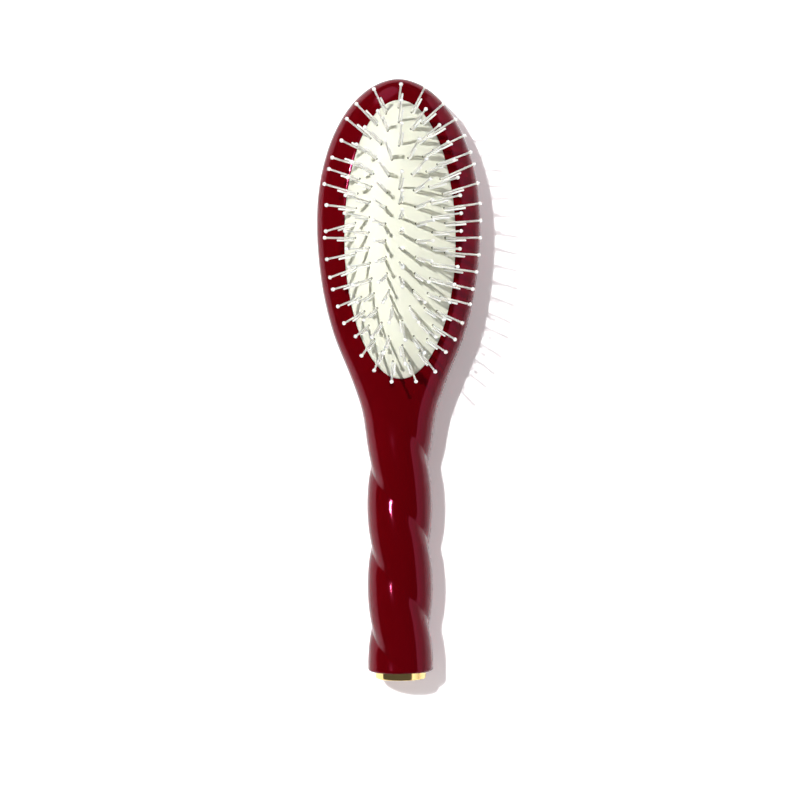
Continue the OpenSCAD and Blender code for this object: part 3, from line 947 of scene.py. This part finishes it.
def backing_surface(m, inner_edge, outer_edge):
    """A slice of the sheet under the rubber that holds the roots: an oval band that follows the
    dome, or an oval plate where it has no inner edge."""
    u = around(BACKING_COLUMNS, -math.pi / 2)
    drop = m.pad.rubber + m.quill.gap
    low = inner_edge * m.pad_half + m.quill.backing_gap / 2 if inner_edge else 0
    high = outer_edge * m.pad_half - m.quill.backing_gap / 2
    a = np.linspace(low, high, BACKING_ROWS)
    top = [(b, dome_z(m, b) - drop) for b in a]
    loop = top + [(b, z - m.quill.backing) for b, z in top[::-1]]
    if inner_edge:
        loop.append(top[0])
    return np.stack([oval(m, b, u, z) for b, z in loop])


# Points round the cap, and rows of its rounded edge and of its face
CAP_SIDES = 144
CAP_EDGE_ROWS = 7
CAP_FACE_ROWS = 10


def cap_surface(m):
    """The end cap: a profile of [radius, distance from the grip] turned about the grip's axis. Its
    outer face bulges a little, its edge is a quarter circle, and a socket takes the stud."""
    cap = m.cap
    r, t, e = cap.cap_d / 2, cap.thickness, cap.edge_round
    socket = cap.stud_d / 2 + cap.stud_fit
    arc = np.linspace(0, math.pi / 2, CAP_EDGE_ROWS)
    face = np.linspace(1, 0, CAP_FACE_ROWS)[1:]
    edge = [(r - e * (1 - math.cos(a)), t - cap.crown - e * (1 - math.sin(a))) for a in arc]
    flat = [((r - e) * f, t - cap.crown * f * f) for f in face]
    profile = [(0, t / 2), (socket, t / 2), (socket, 0), (r, 0), *edge, *flat]
    angle = around(CAP_SIDES)
    return np.stack([grip_circle(m, a, m.grip_end_y - d, angle) for a, d in profile])


class BRUSH_OT_body(bpy.types.Operator):
    """Builds the polished head, throat and twisted grip"""

    bl_idname = "brush.body"
    bl_label = "Body"

    def execute(self, context):
        m = measures(context.scene)
        grids = [(grip_rings(m), True), (frame_surface(m), True), (back_surface(m), False)]
        body = make_piece("polished_body", grids, acetate_material(context.scene.brush_colours))
        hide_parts("handle_body")
        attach(body, "brush_body")
        return {"FINISHED"}


class BRUSH_OT_cushion(bpy.types.Operator):
    """Builds the domed rubber cushion"""

    bl_idname = "brush.cushion"
    bl_label = "Cushion"

    def execute(self, context):
        m = measures(context.scene)
        quills = all_quills(m)
        rubber = rubber_material(context.scene.brush_colours)
        pad = make_piece("rubber_cushion", [(cushion_surface(m, quills), True)], rubber)
        points = np.zeros(len(pad.data.vertices) * 3, np.float32)
        pad.data.vertices.foreach_get("co", points)
        points = points.reshape(-1, 3).astype(float)
        # Marks for the painted shade in the holes: the way to the nearest hole and how near it is
        way, near = hole_ways(m, quills, points[:, 0], points[:, 1])
        near[points[:, 2] < dome_z(m, m.pad_half) - m.pad.rubber / 2] = 0
        marks = pad.data.attributes
        marks.new("hole_way", "FLOAT_VECTOR", "POINT").data.foreach_set("vector", way.ravel())
        marks.new("hole_near", "FLOAT", "POINT").data.foreach_set("value", near)
        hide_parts("cushion_pad")
        crown = m.edge_z + m.pad.crown_rise
        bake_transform(pad, "brush_body", "centre_bed", start=(0, m.pad_y, m.edge_z), end=(0, m.pad_y, crown))
        return {"FINISHED"}


class BRUSH_OT_quills(bpy.types.Operator):
    """Builds the three rings and the middle row of bent quills"""

    bl_idname = "brush.quills"
    bl_label = "Quills"

    def execute(self, context):
        m = measures(context.scene)
        nylon = nylon_material(context.scene.brush_colours)
        edges = dict(zip(("centre", "inner", "middle", "outer"), (0, *BACKING_SHARES)))
        outside = dict(zip(edges, BACKING_SHARES))
        for name, quills in quill_groups(m).items():
            grids = quill_surfaces(m, quills)
            grids.append((backing_surface(m, edges[name], outside[name]), True))
            piece = make_piece("nylon_quills_" + name, grids, nylon)
            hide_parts("quills_" + name)
            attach(piece, name + "_bed")
        return {"FINISHED"}


class BRUSH_OT_cap(bpy.types.Operator):
    """Builds the gold-coloured end cap and finishes the stud and insert inside the grip"""

    bl_idname = "brush.cap"
    bl_label = "End cap"

    def execute(self, context):
        m = measures(context.scene)
        colours = context.scene.brush_colours
        gold = metal_material("polished_gold", colours.gold, *METAL_FINISHES["gold"])
        cap = make_piece("gold_cap", [(cap_surface(m), True)], gold)
        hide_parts("end_cap")
        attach(cap, "brush_body")
        for node, slot, metal in (
            ("cap_stud", "stud_steel", "steel"),
            ("cap_insert", "insert_brass", "brass"),
        ):
            tint = getattr(colours, metal)
            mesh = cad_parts[node].data
            mesh.materials.clear()
            mesh.materials.append(metal_material("turned_" + metal, tint, *METAL_FINISHES[metal]))
        return {"FINISHED"}


def floor_material(colours, s):
    """Matt floor that looks white to the eye and in gloss and keeps the brush's shadow, which the red of the
    brush tints, and which the pink of the floor's glow tints further as painted bounce light. What the eye
    sees of its lift grows away from its middle."""
    material = bpy.data.materials.new("pale_floor")
    material.use_nodes = True
    tree = material.node_tree
    tree.nodes.clear()
    path = add_node(tree, "LightPath").outputs
    far = vector_length(tree, add_node(tree, "TexCoord").outputs["Object"])
    lift = between(tree, far, s.floor_lift, s.far_lift, s.lift_start, s.lift_end)
    eye = combine(tree, "MULTIPLY", path["Is Camera Ray"], lift)
    mirrored = between(tree, path["Is Glossy Ray"], 0, s.floor_lift)
    strength = combine(tree, "MAXIMUM", eye, mirrored)
    # Painted bounce light: the glow's pink tints the floor's shadow
    tint = (*colours.floor_glow, 1.0)
    matt = add_node(tree, "BsdfDiffuse", {"Color": (*colours.floor, 1.0)})
    glow = add_node(tree, "Emission", {"Color": tint, "Strength": strength})
    both = add_node(tree, "AddShader", {0: matt.outputs[0], 1: glow.outputs[0]})
    add_node(tree, "OutputMaterial", {"Surface": both.outputs[0]})
    return material


def room_light(scene, fill, dark):
    """Even light all around that gloss sees as a dark room and the eye as a white backdrop."""
    world = bpy.data.worlds.new("studio")
    world.use_nodes = True
    tree = world.node_tree
    path = add_node(tree, "LightPath").outputs
    gloss = between(tree, path["Is Glossy Ray"], fill, dark)
    white = combine(tree, "MAXIMUM", gloss, path["Is Camera Ray"])
    background = tree.nodes["Background"]
    background.inputs["Color"].default_value = (1, 1, 1, 1)
    feed(background, Strength=white)
    scene.world = world


def add_lamp(name, kind, place, aim, **settings):
    """A lamp at a place that points at its aim."""
    lamp = bpy.data.lights.new(name, kind)
    for key, value in settings.items():
        setattr(lamp, key, value)
    holder = bpy.data.objects.new(name, lamp)
    holder.location = place
    holder.rotation_euler = (Vector(aim) - Vector(place)).to_track_quat("-Z", "Y").to_euler()
    holder.visible_camera = False
    bpy.context.scene.collection.objects.link(holder)
    return holder


def round_lamp(name, place, power, radius):
    """A round lamp."""
    return add_lamp(name, "POINT", place, (0, 0, 0), energy=power, shadow_soft_size=radius)


def light_pieces(s, floor, quills):
    """The key lamp, one more in its place for the floor alone, and one for the quills alone."""
    round_lamp("key_lamp", s.key_place, s.key_power, s.key_radius)
    for name, place, receivers, power in (
        ("floor_key", s.key_place, [floor], s.floor_key_power),
        ("quill_fill", s.quill_fill_place, quills, s.quill_fill_power),
    ):
        lit = bpy.data.collections.new("lit_by_" + name)
        for receiver in receivers:
            lit.objects.link(receiver)
        lamp = round_lamp(name, place, power, s.soft_radius)
        lamp.light_linking.receiver_collection = lit


def light_gloss(s):
    """Lights that only gloss sees: a halo round the key lamp, a far card that is brighter in its
    middle, and a panel on the right stacked from rows that get brighter upwards."""
    lamps = [round_lamp("key_glint", s.key_place, s.glint_power, s.glint_radius)]
    for size in (s.card_size, s.card_size / 2):
        disk = {"shape": "DISK", "size": size, "energy": s.card_light * (math.pi * size / 2) ** 2}
        lamps.append(add_lamp("far_card", "AREA", s.card_place, s.card_aim, **disk))
    row_height = s.panel_height / s.panel_rows
    for row in range(s.panel_rows):
        height = (row + 0.5) * row_height
        light = mix(s.panel_low, s.panel_high, (row + 0.5) / s.panel_rows)
        strip = {"shape": "RECTANGLE", "size": s.panel_length, "size_y": row_height}
        strip["energy"] = light * math.pi * s.panel_length * row_height
        lamps.append(
            add_lamp("side_panel", "AREA", (s.panel_x, 0, height), (0, 0, height), **strip)
        )
    for lamp in lamps:
        lamp.visible_diffuse = False


def add_floor(scene, s):
    """A square floor about the origin."""
    half = s.floor_size / 2
    corners = [(-half, -half, 0), (half, -half, 0), (half, half, 0), (-half, half, 0)]
    mesh = bpy.data.meshes.new("floor")
    mesh.from_pydata(corners, [], [(0, 1, 2, 3)])
    mesh.materials.append(floor_material(scene.brush_colours, s))
    floor = bpy.data.objects.new("floor", mesh)
    scene.collection.objects.link(floor)
    return floor


def add_camera(scene, s):
    """The camera, which looks down, turned about a point above the floor by three angles."""
    lens = bpy.data.cameras.new("camera")
    lens.lens = s.lens
    camera = bpy.data.objects.new("camera", lens)
    scene.collection.objects.link(camera)
    turned = Matrix.Rotation(s.spin, 4, "Z") @ Matrix.Rotation(s.pitch, 4, "X")
    turned = turned @ Matrix.Rotation(s.roll, 4, "Y")
    aim = Matrix.Translation((0, 0, s.aim_height))
    away = Matrix.Translation((s.aim_x, s.aim_y, s.distance))
    camera.matrix_world = aim @ turned.inverted() @ away
    scene.camera = camera


class BRUSH_OT_stage(bpy.types.Operator):
    """Builds the pale floor, the lamps and the camera"""

    bl_idname = "brush.stage"
    bl_label = "Stage"

    def execute(self, context):
        scene = context.scene
        s = scene.brush_stage
        floor = add_floor(scene, s)
        quills = [bpy.data.objects["nylon_quills_" + name] for name in (*RING_SHARES, "centre")]
        light_pieces(s, floor, quills)
        light_gloss(s)
        room_light(scene, s.fill, s.dark)
        add_camera(scene, s)
        scene.view_settings.view_transform = "Standard"
        return {"FINISHED"}


STEPS = (BRUSH_OT_body, BRUSH_OT_cushion, BRUSH_OT_quills, BRUSH_OT_cap, BRUSH_OT_stage)


class BRUSH_PT_sidebar(bpy.types.Panel):
    """Sizes and colours of the brush, and the steps that build it"""

    bl_idname = "BRUSH_PT_sidebar"
    bl_label = "Detangling Brush"
    bl_space_type = "VIEW_3D"
    bl_region_type = "UI"
    bl_category = "Brush"

    def draw(self, context):
        for step in STEPS:
            self.layout.operator(step.bl_idname)
        for name in GROUPS:
            group = getattr(context.scene, name)
            box = self.layout.box()
            for key in group.__annotations__:
                box.prop(group, key)


GROUPS = {
    "brush_body": BodySizes,
    "brush_cushion": CushionSizes,
    "brush_quills": QuillSizes,
    "brush_cap": CapSizes,
    "brush_colours": BrushColours,
    "brush_stage": StageSizes,
}


def register():
    for group in GROUPS.values():
        bpy.utils.register_class(group)
    for name, group in GROUPS.items():
        setattr(bpy.types.Scene, name, PointerProperty(type=group))
    for step in (*STEPS, BRUSH_PT_sidebar):
        bpy.utils.register_class(step)


def unregister():
    for step in reversed((*STEPS, BRUSH_PT_sidebar)):
        bpy.utils.unregister_class(step)
    for name in GROUPS:
        delattr(bpy.types.Scene, name)
    for group in reversed(GROUPS.values()):
        bpy.utils.unregister_class(group)


def main():
    """Registers the add-on and builds every piece and the stage."""
    register()
    bpy.ops.brush.body()
    bpy.ops.brush.cushion()
    bpy.ops.brush.quills()
    bpy.ops.brush.cap()
    bpy.ops.brush.stage()


if __name__ == "__main__":
    main()
